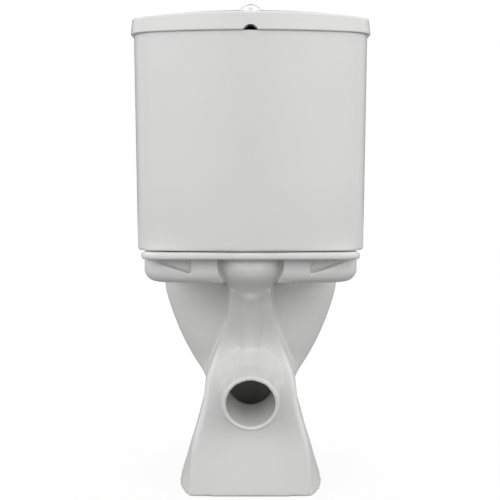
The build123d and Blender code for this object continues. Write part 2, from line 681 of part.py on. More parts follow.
def button_bezel():
    flange = rod_up(BEZEL_DIAMETER / 2, 0, INLET_FROM_WALL, BEZEL_SEAT, BEZEL_SEAT + BEZEL_HEIGHT)
    flange = fillet(flange.edges().group_by(Axis.Z)[-1], BEZEL_HEIGHT / 2)
    shape = flange + rod_up(BEZEL_TUBE / 2, 0, INLET_FROM_WALL, BEZEL_END, BEZEL_SEAT + 1)
    bore = BUTTON_DIAMETER / 2 + BUTTON_GAP
    shape -= rod_up(bore, 0, INLET_FROM_WALL, BEZEL_END + BEZEL_WEB, BEZEL_SEAT + BEZEL_HEIGHT + 1)
    for from_wall in (FULL_ROD_FROM_WALL, HALF_ROD_FROM_WALL):
        shape -= rod_up(PUSH_ROD / 2 + BUTTON_GAP, 0, from_wall, BEZEL_END - 1, BEZEL_END + BEZEL_WEB + 1)
    return shape


def button_nut():
    low = LID_CEILING - BUTTON_NUT_THICK
    outline = RegularPolygon(BUTTON_NUT_DIAMETER / 2, 12)
    shape = at(0, INLET_FROM_WALL, low) * extrude(outline, BUTTON_NUT_THICK)
    return shape - rod_up(BEZEL_TUBE / 2 + THREAD_CLEARANCE, 0, INLET_FROM_WALL, low - 1, LID_CEILING + 1)


def button_dome():
    radius = BUTTON_DIAMETER / 2
    shank = rod_up(radius, 0, INLET_FROM_WALL, BUTTON_UNDER, BUTTON_SHOULDER)
    ball = (radius * radius + BUTTON_DOME * BUTTON_DOME) / (2 * BUTTON_DOME)
    cap = at(0, INLET_FROM_WALL, BUTTON_SHOULDER + BUTTON_DOME - ball) * Sphere(ball)
    cap &= rod_up(radius, 0, INLET_FROM_WALL, BUTTON_SHOULDER, BUTTON_SHOULDER + BUTTON_DOME + 1)
    return shank + cap


def button_half(front):
    split = INLET_FROM_WALL + BUTTON_SPLIT
    high = BUTTON_SHOULDER + BUTTON_DOME + 1
    reach = BUTTON_DIAMETER
    if front:
        span = (split + BUTTON_SPLIT_GAP / 2, split + reach)
    else:
        span = (split - 2 * reach, split - BUTTON_SPLIT_GAP / 2)
    keep = box_between(-reach, reach, *span, BUTTON_UNDER - 1, high)
    return button_dome() & keep


def push_rod(from_wall):
    rod = rod_up(PUSH_ROD / 2, 0, from_wall, ROD_END, BUTTON_UNDER)
    return fillet(rod.edges().group_by(Axis.Z)[0], PUSH_ROD_TIP)


def button_spring(from_wall):
    low = BEZEL_END + BEZEL_WEB + SPRING_WIRE / 2
    height = BUTTON_UNDER - SPRING_WIRE / 2 - low
    radius = (SPRING_COIL - SPRING_WIRE) / 2
    coil = Helix(height / SPRING_TURNS, height, radius)
    start = Plane(coil @ 0, z_dir=coil % 0)
    wire = sweep(start * Circle(SPRING_WIRE / 2), coil, is_frenet=True)
    return at(0, from_wall, low) * wire


def flush_valve_body():
    shape = rod_up(VALVE_FLANGE / 2, 0, INLET_FROM_WALL, SEAL_TOP, VALVE_FLANGE_TOP)
    shape += rod_up(VALVE_TAIL / 2, 0, INLET_FROM_WALL, SHELF_TOP - VALVE_TAIL_DROP, SEAL_TOP)
    shape += rod_up(VALVE_TAIL_BORE / 2 + VALVE_SEAT_WALL, 0, INLET_FROM_WALL, VALVE_FLANGE_TOP, VALVE_SEAT)
    housing = VALVE_HOUSING / 2
    shape += ring_up(housing, housing - VALVE_HOUSING_WALL, 0, INLET_FROM_WALL, VALVE_FLANGE_TOP, VALVE_TOP)
    shape += rod_up(VALVE_HOUSING / 2, 0, INLET_FROM_WALL, VALVE_TOP - VALVE_HOUSING_WALL, VALVE_TOP)
    shape -= rod_up(VALVE_TAIL_BORE / 2, 0, INLET_FROM_WALL, 0, VALVE_SEAT + 1)
    shape -= rod_up(STEM_DIAMETER / 2 + BUTTON_GAP, 0, INLET_FROM_WALL, VALVE_SEAT, VALVE_TOP + 1)
    window_high = VALVE_FLANGE_TOP + VALVE_WINDOW_HEIGHT
    half = VALVE_WINDOW_WIDTH / 2
    near = INLET_FROM_WALL - VALVE_HOUSING
    far = INLET_FROM_WALL + VALVE_HOUSING
    cut = box_between(-half, half, near, far, VALVE_FLANGE_TOP, window_high)
    cut += at(0, INLET_FROM_WALL, 0) * (Rot(0, 0, 90) * (at(0, INLET_FROM_WALL, 0).inverse() * cut))
    cut -= rod_up(VALVE_TAIL_BORE / 2 + VALVE_SEAT_WALL, 0, INLET_FROM_WALL, VALVE_FLANGE_TOP, VALVE_SEAT)
    shape -= cut
    inner = ROCKER_WIDTH / 2 + BUTTON_GAP + BUTTON_GAP
    low_across = ROCKER_PIN_ACROSS - CHEEK_WIDTH / 2
    high_across = ROCKER_PIN_ACROSS + CHEEK_WIDTH / 2
    top = ROCKER_AXIS + CHEEK_WIDTH / 2
    for side in (-1, 1):
        edges = sorted((side * inner, side * (inner + CHEEK_THICK)))
        wall = FULL_ROD_FROM_WALL
        shape += box_between(low_across, high_across, wall + edges[0], wall + edges[1], VALVE_TOP - 1, top)
    return shape - rocker_pin()


def rocker_pin():
    reach = ROCKER_WIDTH / 2 + 2 * BUTTON_GAP + CHEEK_THICK
    plane = Plane(along_wall(FULL_ROD_FROM_WALL - reach, ROCKER_AXIS), z_dir=(0, -1, 0))
    return Pos(ROCKER_PIN_ACROSS, 0, 0) * extrude(plane * Circle(ROCKER_PIN_DIAMETER / 2), 2 * reach)


def lift_rocker():
    half = ROCKER_WIDTH / 2
    wall = FULL_ROD_FROM_WALL
    outer = ROCKER_PIN_ACROSS + ROCKER_REACH + ROCKER_BAR / 2
    low = ROCKER_AXIS - ROCKER_BAR / 2
    shape = box_between(-PUSH_ROD / 2, outer, wall - half, wall + half, low, low + ROCKER_BAR)
    plane = Plane(along_wall(wall - half, ROCKER_AXIS), z_dir=(0, -1, 0))
    hub = Pos(ROCKER_PIN_ACROSS, 0, 0) * extrude(plane * Circle(ROCKER_HUB / 2), ROCKER_WIDTH)
    bore = Circle(ROCKER_PIN_DIAMETER / 2 + BUTTON_GAP)
    bore = Pos(ROCKER_PIN_ACROSS, 0, 0) * extrude(plane * bore, ROCKER_WIDTH)
    return shape + hub - bore


def overflow_stem():
    shape = rod_up(STEM_DISC / 2, 0, INLET_FROM_WALL, STEM_BOTTOM, STEM_BOTTOM + STEM_DISC_THICK)
    shape += rod_up(STEM_DIAMETER / 2, 0, INLET_FROM_WALL, STEM_BOTTOM, STEM_TOP)
    half = ROCKER_WIDTH / 2
    wall = FULL_ROD_FROM_WALL
    over = ROCKER_AXIS + ROCKER_BAR / 2 + ROCKER_GAP
    lift_low = ROCKER_PIN_ACROSS + ROCKER_REACH - ARM_THICK
    post_low = ROCKER_PIN_ACROSS + ROCKER_REACH + ROCKER_BAR
    post_high = post_low + ARM_THICK
    arm_low = VALVE_TOP + ARM_RISE
    shape += box_between(0, post_high, wall - half, wall + half, arm_low, arm_low + ARM_THICK)
    shape += box_between(post_low, post_high, wall - half, wall + half, arm_low, over + ARM_THICK)
    shape += box_between(lift_low, post_high, wall - half, wall + half, over, over + ARM_THICK)
    return shape - rod_up(STEM_BORE / 2, 0, INLET_FROM_WALL, STEM_BOTTOM - 1, STEM_TOP + 1)


def fill_valve_body():
    across = FILL_HOLE_FROM_MIDDLE
    shank_low = TANK_BOTTOM - FILL_NUT_THICK - FILL_SHANK_END
    shape = rod_up(FILL_SHANK / 2, across, INLET_FROM_WALL, shank_low, SEAL_TOP)
    shape += rod_up(INLET_THREAD / 2, across, INLET_FROM_WALL, TANK_INSIDE - INLET_DROP, shank_low)
    shape += rod_up(FILL_FLANGE / 2, across, INLET_FROM_WALL, SEAL_TOP, FILL_BASE)
    shape += rod_up(FILL_RISER / 2, across, INLET_FROM_WALL, FILL_BASE, FILL_TOP)
    shape += rod_up(FLOAT_STOP / 2, across, INLET_FROM_WALL, FLOAT_LOW - FLOAT_STOP_THICK, FLOAT_LOW)
    return shape - rod_up(INLET_THREAD / 4, across, INLET_FROM_WALL, 0, FILL_TOP - FILL_RISER)


def fill_valve_head():
    across = FILL_HOLE_FROM_MIDDLE
    shape = rod_up(FILL_HEAD / 2, across, INLET_FROM_WALL, FILL_TOP, FILL_HEAD_TOP)
    shape = fillet(shape.edges().group_by(Axis.Z)[-1], LEVER_GAP)
    inner = LEVER_WIDTH / 2 + 2 * BUTTON_GAP
    pivot = across + LEVER_PIVOT_OFFSET
    for side in (-1, 1):
        edges = sorted((side * inner, side * (inner + CHEEK_THICK)))
        low = INLET_FROM_WALL + edges[0]
        high = INLET_FROM_WALL + edges[1]
        cheek_top = LEVER_AXIS + LEVER_BAR
        shape += box_between(pivot - LEVER_BAR, pivot + LEVER_BAR, low, high, FILL_TOP, cheek_top)
    return shape - lever_pin()


def lever_pin():
    reach = LEVER_WIDTH / 2 + 2 * BUTTON_GAP + CHEEK_THICK
    plane = Plane(along_wall(INLET_FROM_WALL - reach, LEVER_AXIS), z_dir=(0, -1, 0))
    pivot = FILL_HOLE_FROM_MIDDLE + LEVER_PIVOT_OFFSET
    return Pos(pivot, 0, 0) * extrude(plane * Circle(LEVER_PIN / 2), 2 * reach)


def float_lever():
    pivot = FILL_HOLE_FROM_MIDDLE + LEVER_PIVOT_OFFSET
    tip = FILL_HOLE_FROM_MIDDLE - FLOAT_LINK_OFFSET - FLOAT_LINK
    half = LEVER_WIDTH / 2
    low = LEVER_AXIS - LEVER_BAR / 2
    shape = box_between(tip, pivot, INLET_FROM_WALL - half, INLET_FROM_WALL + half, low, low + LEVER_BAR)
    plane = Plane(along_wall(INLET_FROM_WALL - half, LEVER_AXIS), z_dir=(0, -1, 0))
    hub = Pos(pivot, 0, 0) * extrude(plane * Circle(LEVER_BAR / 2 + LEVER_GAP / 2), LEVER_WIDTH)
    bore = Pos(pivot, 0, 0) * extrude(plane * Circle(LEVER_PIN / 2 + BUTTON_GAP / 2), LEVER_WIDTH)
    return shape + hub - bore


def float_cup():
    across = FILL_HOLE_FROM_MIDDLE
    bore = FILL_RISER / 2 + FLOAT_CLEARANCE
    high = FLOAT_LOW + FLOAT_HEIGHT
    shape = rod_up(FLOAT_DIAMETER / 2, across, INLET_FROM_WALL, FLOAT_LOW, high)
    shape = fillet(shape.edges().group_by(Axis.Z)[-1], FLOAT_WALL)
    skin = FLOAT_DIAMETER / 2 - FLOAT_WALL
    shape -= ring_up(skin, bore + FLOAT_WALL, across, INLET_FROM_WALL, FLOAT_LOW - 1, high - FLOAT_WALL)
    shape -= rod_up(bore, across, INLET_FROM_WALL, FLOAT_LOW - 1, high + 1)
    link_top = LEVER_AXIS - LEVER_BAR / 2 - ROCKER_GAP
    link = rod_up(FLOAT_LINK / 2, across - FLOAT_LINK_OFFSET, INLET_FROM_WALL, high - FLOAT_WALL, link_top)
    return shape + link


def hex_nut(flats, hole, across, from_wall, low, high):
    outline = RegularPolygon(flats / 2, 6, major_radius=False)
    shape = at(across, from_wall, low) * extrude(outline, high - low)
    return shape - rod_up(hole, across, from_wall, low - 1, high + 1)


def wing_nut(bolt, across, from_wall, high):
    low = high - WING_HEIGHT
    shape = rod_up(WING_HUB / 2, across, from_wall, low, high)
    half = WING_SPAN / 2
    thick = WING_THICK / 2
    tip = high - WING_THICK
    wings = box_between(across - thick, across + thick, from_wall - half, from_wall + half, low, tip)
    wings = fillet(wings.edges().filter_by(Axis.X), WING_THICK / 2)
    shape += wings
    return shape - rod_up(bolt / 2 + THREAD_CLEARANCE, across, from_wall, low - 1, high + 1)


def tank_bolt(across):
    head_low = TANK_INSIDE + BOLT_SEAL_THICK
    head_high = head_low + BOLT_HEAD_THICK
    shape = rod_up(BOLT_HEAD / 2, across, INLET_FROM_WALL, head_low, head_high)
    shape = fillet(shape.edges().group_by(Axis.Z)[-1], BOLT_HEAD_THICK / 3)
    near = INLET_FROM_WALL - BOLT_SLOT / 2
    far = INLET_FROM_WALL + BOLT_SLOT / 2
    slot_low = head_high - BOLT_SLOT
    shape -= box_between(across - BOLT_HEAD, across + BOLT_HEAD, near, far, slot_low, head_high + 1)
    end = SHELF_BOTTOM - BOLT_END_DROP
    return shape + rod_up(BOLT_DIAMETER / 2, across, INLET_FROM_WALL, end, head_low)


def seat_outline(inset=0):
    half = SEAT_WIDTH / 2 - inset
    length = SEAT_NOSE_LENGTH - inset
    turn = REAR_Y - SEAT_NOSE + SEAT_NOSE_LENGTH
    rear = REAR_Y - SEAT_REAR - inset
    nose = EllipticalCenterArc((0, turn), half, length, HALF_TURN, arc_size=HALF_TURN)
    back = Polyline((half, turn), (half, rear), (-half, rear), (-half, turn))
    face = make_face([nose, *back.edges()])
    return fillet(face.vertices().sort_by(Axis.Y)[-2:], SEAT_CORNER - inset)


def across_rod(radius, low, high):
    plane = Plane(along_wall(HINGE_FROM_WALL, HINGE_HEIGHT), x_dir=(0, 1, 0), z_dir=(1, 0, 0))
    return Pos(low, 0, 0) * extrude(plane * Circle(radius), high - low)


def knuckle_span(outer):
    start = HINGE_POST_WIDTH / 2 + HINGE_GAP
    if outer:
        return SEAT_BOLT_ACROSS + start, SEAT_BOLT_ACROSS + start + HINGE_KNUCKLE
    return SEAT_BOLT_ACROSS - start - HINGE_KNUCKLE, SEAT_BOLT_ACROSS - start


def seat_ring():
    shape = extrude(Plane.XY.offset(SEAT_LOW) * seat_outline(), SEAT_THICK)
    hole_front = front_at(SEAT_HOLE_WIDEST, SEAT_HOLE_REACH, SEAT_NOSE)
    hole = egg(SEAT_LOW, SEAT_HOLE_WIDTH / 2, SEAT_HOLE_REAR, SEAT_HOLE_WIDEST, hole_front)
    shape -= extrude(hole, SEAT_THICK)
    shape = fillet(shape.edges().group_by(Axis.Z)[-1], SEAT_ROUND)
    shape = fillet(shape.edges().group_by(Axis.Z)[0], SEAT_ROUND / 3)
    low, high = knuckle_span(True)
    for side in (-1, 1):
        span = sorted((side * low, side * high))
        shape += across_rod(HINGE_HUB / 2, *span)
        web_low = HINGE_HEIGHT - HINGE_HUB / 2
        shape += box_between(*span, HINGE_FROM_WALL, SEAT_REAR + SEAT_ROUND, web_low, HINGE_HEIGHT)
        shape -= across_rod(HINGE_PIN / 2 + HINGE_CLEARANCE, *span)
    return shape


def seat_cover():
    shape = extrude(Plane.XY.offset(COVER_LOW) * seat_outline(), COVER_RISE + 1)
    middle = (SEAT_REAR + SEAT_NOSE) / 2
    shape &= crown(COVER_TOP, COVER_CROWN_ACROSS, COVER_CROWN_ALONG, middle)
    shape = fillet(shape.faces().sort_by(Axis.Z)[-1].edges(), COVER_ROUND)
    shape -= extrude(Plane.XY.offset(COVER_LOW) * seat_outline(COVER_LIP), COVER_RECESS)
    low, high = knuckle_span(False)
    for side in (-1, 1):
        span = sorted((side * low, side * high))
        shape += across_rod(HINGE_HUB / 2, *span)
        web_high = HINGE_HEIGHT + HINGE_HUB / 2 + COVER_GAP
        shape += box_between(*span, HINGE_FROM_WALL, SEAT_REAR + COVER_LIP / 2, COVER_LOW, web_high)
        shape -= across_rod(HINGE_PIN / 2 + HINGE_CLEARANCE, *span)
    return shape


def hinge_post(across):
    base = rod_up(HINGE_BASE / 2, across, SEAT_BOLT_FROM_WALL, RIM_TOP, RIM_TOP + HINGE_BASE_THICK)
    base = fillet(base.edges().group_by(Axis.Z)[-1], HINGE_BASE_THICK / 3)
    half = HINGE_POST_WIDTH / 2
    post_low = RIM_TOP + HINGE_BASE_THICK - 1
    arm_rear = SEAT_BOLT_FROM_WALL - half
    post_high = HINGE_HEIGHT + half
    arm = box_between(across - half, across + half, arm_rear, HINGE_FROM_WALL, post_low, post_high)
    arm = fillet(arm.edges().filter_by(Axis.X).sort_by(Axis.Y)[-1:], half)
    arm += across_rod(HINGE_HUB / 2, across - half, across + half)
    shape = base + arm
    shape -= across_rod(HINGE_PIN / 2, across - half, across + half)
    return shape - hinge_stud(across)


def hinge_pin(across):
    start = HINGE_POST_WIDTH / 2 + HINGE_GAP + HINGE_KNUCKLE
    return across_rod(HINGE_PIN / 2, across - start, across + start)


def hinge_stud(across):
    low = RIM_TOP - HINGE_STUD_DROP
    return rod_up(HINGE_STUD / 2, across, SEAT_BOLT_FROM_WALL, low, RIM_TOP + HINGE_BASE_THICK)


def cone_washer(across):
    low = PLATFORM_BOTTOM - HINGE_WASHER_THICK
    shape = rod_up(HINGE_WASHER / 2, across, SEAT_BOLT_FROM_WALL, low, PLATFORM_BOTTOM)
    shape = chamfer(shape.edges().group_by(Axis.Z)[0], HINGE_WASHER_THICK / 2)
    hole = HINGE_STUD / 2 + THREAD_CLEARANCE
    return shape - rod_up(hole, across, SEAT_BOLT_FROM_WALL, low - 1, PLATFORM_BOTTOM + 1)


def seat_buffer(across, from_wall):
    half = SEAT_BUFFER_WIDTH / 2
    reach = SEAT_BUFFER_LENGTH / 2
    pad = box_between(across - half, across + half, from_wall - reach, from_wall + reach, RIM_TOP, SEAT_LOW)
    return fillet(pad.edges().filter_by(Axis.Z), half * 0.8)


def cover_buffer(across, from_wall):
    return rod_up(COVER_BUFFER / 2, across, from_wall, SEAT_TOP, COVER_LOW + COVER_RECESS)


def mirrored(make, across, *place):
    return make(across, *place) + make(-across, *place)


os.makedirs("parts", exist_ok=True)


def save(shape, node):
    export_step(shape, f"parts/{node}.step")


save(pan(), "pan")
save(cistern_tank(), "cistern_tank")
save(cistern_lid(), "cistern_lid")

save(button_bezel(), "button_bezel")
save(button_nut(), "button_nut")
save(button_half(False), "full_flush_button")
save(button_half(True), "half_flush_button")
save(push_rod(FULL_ROD_FROM_WALL), "full_flush_rod")
save(push_rod(HALF_ROD_FROM_WALL), "half_flush_rod")
save(button_spring(FULL_ROD_FROM_WALL), "full_button_spring")
save(button_spring(HALF_ROD_FROM_WALL), "half_button_spring")

save(flush_valve_body(), "flush_valve_body")
valve_washer = ring_up(VALVE_FLANGE / 2, FLUSH_HOLE / 2, 0, INLET_FROM_WALL, TANK_INSIDE, SEAL_TOP)
save(valve_washer, "flush_valve_washer")
valve_nut_low = TANK_BOTTOM - VALVE_NUT_THICK
valve_nut_hole = VALVE_TAIL / 2 + THREAD_CLEARANCE
valve_nut_flats = VALVE_NUT * cos(radians(30))
inlet = (0, INLET_FROM_WALL)
save(hex_nut(valve_nut_flats, valve_nut_hole, *inlet, valve_nut_low, TANK_BOTTOM), "flush_valve_nut")
cup_low = SHELF_TOP - INLET_CUP_DEPTH
save(ring_up(COUPLING_SEAL / 2, valve_nut_hole, *inlet, cup_low, valve_nut_low), "close_coupling_seal")
save(overflow_stem(), "overflow_stem")
save(ring_up(STEM_DISC / 2, STEM_BORE / 2, *inlet, VALVE_SEAT, STEM_BOTTOM), "flush_seal")
save(lift_rocker(), "lift_rocker")
save(rocker_pin(), "rocker_pin")

save(fill_valve_body(), "fill_valve_body")
save(fill_valve_head(), "fill_valve_head")
fill_place = (FILL_HOLE_FROM_MIDDLE, INLET_FROM_WALL)
fill_nut_hole = FILL_SHANK / 2 + THREAD_CLEARANCE
save(ring_up(FILL_FLANGE / 2, fill_nut_hole, *fill_place, TANK_INSIDE, SEAL_TOP), "fill_valve_washer")
fill_nut_low = TANK_BOTTOM - FILL_NUT_THICK
save(hex_nut(FILL_NUT_FLATS, fill_nut_hole, *fill_place, fill_nut_low, TANK_BOTTOM), "fill_valve_nut")
save(float_cup(), "float_cup")
save(float_lever(), "float_lever")
save(lever_pin(), "lever_pin")

bolt_across = TANK_BOLT_SPACING / 2
shank_hole = BOLT_DIAMETER / 2 + THREAD_CLEARANCE
washer_low = SHELF_BOTTOM - BOLT_WASHER_THICK
save(mirrored(tank_bolt, bolt_across), "tank_bolts")


def bolt_ring(across, diameter, low, high):
    return ring_up(diameter / 2, shank_hole, across, INLET_FROM_WALL, low, high)


seal_high = TANK_INSIDE + BOLT_SEAL_THICK
save(mirrored(bolt_ring, bolt_across, BOLT_SEAL, TANK_INSIDE, seal_high), "bolt_seal_washers")
save(mirrored(bolt_ring, bolt_across, BOLT_SPACER, SPACER_LOW, TANK_BOTTOM), "bolt_spacer_washers")
save(mirrored(bolt_ring, bolt_across, BOLT_WASHER, washer_low, SHELF_BOTTOM), "bolt_steel_washers")


def bolt_wing_nut(across):
    return wing_nut(BOLT_DIAMETER, across, INLET_FROM_WALL, washer_low)


save(mirrored(bolt_wing_nut, bolt_across), "bolt_wing_nuts")

save(seat_ring(), "seat_ring")
save(seat_cover(), "seat_cover")
save(mirrored(hinge_post, SEAT_BOLT_ACROSS), "hinge_posts")
save(mirrored(hinge_pin, SEAT_BOLT_ACROSS), "hinge_pins")
save(mirrored(hinge_stud, SEAT_BOLT_ACROSS), "hinge_studs")
save(mirrored(cone_washer, SEAT_BOLT_ACROSS), "hinge_cone_washers")


def hinge_wing_nut(across):
    return wing_nut(HINGE_STUD, across, SEAT_BOLT_FROM_WALL, PLATFORM_BOTTOM - HINGE_WASHER_THICK)


save(mirrored(hinge_wing_nut, SEAT_BOLT_ACROSS), "hinge_nuts")
rear_pads = (REAR_PADS_SPACING / 2, REAR_PADS_FROM_WALL)
front_pads = (FRONT_PADS_SPACING / 2, FRONT_PADS_FROM_WALL)
save(mirrored(seat_buffer, *rear_pads) + mirrored(seat_buffer, *front_pads), "seat_buffers")
save(mirrored(cover_buffer, *rear_pads) + mirrored(cover_buffer, *front_pads), "cover_buffers")
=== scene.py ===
import json
from math import cos, radians, sin

import bmesh
import bpy
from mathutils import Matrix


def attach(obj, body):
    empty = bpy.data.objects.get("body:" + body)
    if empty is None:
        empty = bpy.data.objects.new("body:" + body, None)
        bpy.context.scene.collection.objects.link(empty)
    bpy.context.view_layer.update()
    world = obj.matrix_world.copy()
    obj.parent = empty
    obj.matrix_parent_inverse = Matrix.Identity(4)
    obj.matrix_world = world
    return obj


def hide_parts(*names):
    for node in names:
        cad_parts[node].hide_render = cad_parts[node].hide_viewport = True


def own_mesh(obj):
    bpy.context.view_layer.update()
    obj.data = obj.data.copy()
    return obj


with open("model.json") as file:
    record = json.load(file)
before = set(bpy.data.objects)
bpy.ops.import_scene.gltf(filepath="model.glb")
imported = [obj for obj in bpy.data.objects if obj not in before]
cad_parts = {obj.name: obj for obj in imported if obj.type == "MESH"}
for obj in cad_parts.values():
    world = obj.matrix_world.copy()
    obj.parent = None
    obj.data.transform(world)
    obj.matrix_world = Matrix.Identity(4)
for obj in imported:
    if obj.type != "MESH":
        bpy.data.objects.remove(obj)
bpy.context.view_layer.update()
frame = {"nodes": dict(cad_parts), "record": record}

# A white close coupled toilet, seen from behind in soft studio light.
# Every length is in metres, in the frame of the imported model.

scene = bpy.context.scene
nodes = frame["nodes"]
slots = {row["node"]: row["material_slot"] for row in frame["record"]["subparts"]}


def link(obj):
    scene.collection.objects.link(obj)
    return obj


# Materials

NOISE_BAND = (0.3, 0.7)  # where nearly all of a noise lies
NOISE_ROUGHNESS = 0.5
TONE_DETAIL = 3.0
GLOSS_DETAIL = 4.0
RELIEF_DETAIL = 2.0


def opaque(colour):
    return (*colour, 1.0)


class Tree:
    """Small helper that adds nodes to one material or world and joins them."""

    def __init__(self, owner):
        owner.use_nodes = True
        self.graph = owner.node_tree

    def add(self, kind, **values):
        node = self.graph.nodes.new(kind)
        for key, value in values.items():
            setattr(node, key, value)
        return node

    def join(self, source, target):
        self.graph.links.new(source, target)

    def give(self, value, target):
        """Join a socket to another one, or set it to a plain value."""
        if isinstance(value, bpy.types.NodeSocket):
            self.join(value, target)
        else:
            target.default_value = value

    def calc(self, operation, first, second):
        """The result of one sum, whose two values are sockets or plain numbers."""
        node = self.add("ShaderNodeMath", operation=operation)
        self.give(first, node.inputs[0])
        self.give(second, node.inputs[1])
        return node.outputs["Value"]

    def noise(self, vector, scale, detail):
        node = self.add("ShaderNodeTexNoise")
        node.inputs["Scale"].default_value = scale
        node.inputs["Detail"].default_value = detail
        node.inputs["Roughness"].default_value = NOISE_ROUGHNESS
        self.join(vector, node.inputs["Vector"])
        return node.outputs["Fac"]

    def spread(self, value, low, high, start, stop):
        """A value that runs from low to high while the given one goes from start to stop."""
        node = self.add("ShaderNodeMapRange")
        node.inputs["From Min"].default_value = start
        node.inputs["From Max"].default_value = stop
        node.inputs["To Min"].default_value = low
        node.inputs["To Max"].default_value = high
        self.join(value, node.inputs["Value"])
        return node.outputs["Result"]

    def mix(self, factor, first, second):
        """A blend of two colours, which are sockets or plain colours."""
        node = self.add("ShaderNodeMix", data_type="RGBA")
        colours = [socket for socket in node.inputs if socket.type == "RGBA"]
        self.give(first, colours[0])
        self.give(second, colours[1])
        self.join(factor, node.inputs["Factor"])
        return next(socket for socket in node.outputs if socket.type == "RGBA")


def surface(name, dark, light, tone_scale, rough, rough_scale, bump_scale, bump_depth,
            metallic=0.0, stretch=(1, 1, 1)):
    """A material with its own colour drift, gloss drift and fine relief."""
    material = bpy.data.materials.new(name)
    tree = Tree(material)
    shader = tree.graph.nodes["Principled BSDF"]
    shader.inputs["Metallic"].default_value = metallic
    coords = tree.add("ShaderNodeTexCoord")
    mapping = tree.add("ShaderNodeMapping")
    mapping.inputs["Scale"].default_value = stretch
    tree.join(coords.outputs["Object"], mapping.inputs["Vector"])
    place = mapping.outputs["Vector"]
    drift = tree.spread(tree.noise(place, tone_scale, TONE_DETAIL), 0.0, 1.0, *NOISE_BAND)
    tree.join(tree.mix(drift, opaque(dark), opaque(light)), shader.inputs["Base Color"])
    gloss = tree.spread(tree.noise(place, rough_scale, GLOSS_DETAIL), *rough, *NOISE_BAND)
    tree.join(gloss, shader.inputs["Roughness"])
    relief = tree.add("ShaderNodeBump")
    relief.inputs["Strength"].default_value = 1.0
    relief.inputs["Distance"].default_value = bump_depth
    tree.join(tree.noise(place, bump_scale, RELIEF_DETAIL), relief.inputs["Height"])
    tree.join(relief.outputs["Normal"], shader.inputs["Normal"])
    return material


GLAZE_START = (0.0012, 0.0024)  # heights between which the glaze takes over from bare clay
CLAY_COLOUR = (0.52, 0.49, 0.44)
CLAY_ROUGH = 0.85


def china(name, dark, light):
    """Glazed china: slow waves in the glaze, and an unglazed line where it stands."""
    material = surface(name, dark, light, tone_scale=4.0, rough=(0.10, 0.17), rough_scale=9.0,
                       bump_scale=26.0, bump_depth=0.00012)
    tree = Tree(material)
    shader = tree.graph.nodes["Principled BSDF"]
    coords = tree.add("ShaderNodeTexCoord")
    axes = tree.add("ShaderNodeSeparateXYZ")
    tree.join(coords.outputs["Object"], axes.inputs["Vector"])
    bare = tree.spread(axes.outputs["Z"], 1.0, 0.0, *GLAZE_START)
    base = shader.inputs["Base Color"].links[0].from_socket
    tree.join(tree.mix(bare, base, opaque(CLAY_COLOUR)), shader.inputs["Base Color"])
    gloss = shader.inputs["Roughness"].links[0].from_socket
    dull = tree.spread(bare, 0.0, CLAY_ROUGH, 0.0, 1.0)
    tree.join(tree.calc("MAXIMUM", gloss, dull), shader.inputs["Roughness"])
    return material


# One finish for each material slot of the record
FINISHES = {
    "china": china("glazed_china", (0.748, 0.748, 0.742), (0.776, 0.776, 0.772)),
    "chrome": surface(
        "bright_chrome", (0.72, 0.73, 0.74), (0.8, 0.81, 0.82), tone_scale=30.0, rough=(0.04, 0.09),
        rough_scale=60.0, bump_scale=400.0, bump_depth=0.000004, metallic=1.0),
    "steel": surface(
        "stainless_steel", (0.5, 0.51, 0.52), (0.62, 0.63, 0.64), tone_scale=20.0, rough=(0.24, 0.4),
        rough_scale=120.0, bump_scale=300.0, bump_depth=0.00002, metallic=1.0, stretch=(1, 1, 0.15)),
    "spring_steel": surface(
        "spring_wire", (0.42, 0.43, 0.45), (0.55, 0.56, 0.58), tone_scale=90.0, rough=(0.2, 0.35),
        rough_scale=200.0, bump_scale=500.0, bump_depth=0.00001, metallic=1.0),
    "brass": surface(
        "turned_brass", (0.55, 0.4, 0.15), (0.68, 0.52, 0.24), tone_scale=40.0, rough=(0.22, 0.38),
        rough_scale=150.0, bump_scale=350.0, bump_depth=0.00002, metallic=1.0),
    "seat_plastic": surface(
        "seat_plastic", (0.79, 0.79, 0.78), (0.82, 0.82, 0.812), tone_scale=6.0, rough=(0.16, 0.24),
        rough_scale=30.0, bump_scale=220.0, bump_depth=0.00001),
    "white_plastic": surface(
        "moulded_white", (0.7, 0.7, 0.69), (0.77, 0.77, 0.76), tone_scale=18.0, rough=(0.36, 0.5),
        rough_scale=60.0, bump_scale=600.0, bump_depth=0.00003),
    "grey_plastic": surface(
        "moulded_grey", (0.23, 0.235, 0.24), (0.29, 0.295, 0.3), tone_scale=20.0, rough=(0.38, 0.55),
        rough_scale=70.0, bump_scale=600.0, bump_depth=0.00003),
    "blue_plastic": surface(
        "moulded_blue", (0.1, 0.2, 0.36), (0.14, 0.26, 0.44), tone_scale=20.0, rough=(0.36, 0.5),
        rough_scale=70.0, bump_scale=600.0, bump_depth=0.00003),
    "float_plastic": surface(
        "float_plastic", (0.06, 0.063, 0.068), (0.09, 0.093, 0.1), tone_scale=20.0, rough=(0.4, 0.55),
        rough_scale=70.0, bump_scale=500.0, bump_depth=0.00003),
    "black_rubber": surface(
        "black_rubber", (0.012, 0.012, 0.012), (0.024, 0.024, 0.023), tone_scale=35.0, rough=(0.6, 0.8),
        rough_scale=90.0, bump_scale=700.0, bump_depth=0.00005),
    "red_rubber": surface(
        "red_silicone", (0.24, 0.03, 0.02), (0.32, 0.05, 0.035), tone_scale=35.0, rough=(0.45, 0.6),
        rough_scale=90.0, bump_scale=500.0, bump_depth=0.00003),
    "pad_rubber": surface(
        "pad_rubber", (0.58, 0.58, 0.57), (0.66, 0.66, 0.65), tone_scale=30.0, rough=(0.5, 0.65),
        rough_scale=90.0, bump_scale=600.0, bump_depth=0.00004),
}

for name, obj in nodes.items():
    obj.data.materials.clear()
    obj.data.materials.append(FINISHES[slots[name]])


# The pan, with its inner corners softened as slip casting and glaze leave them

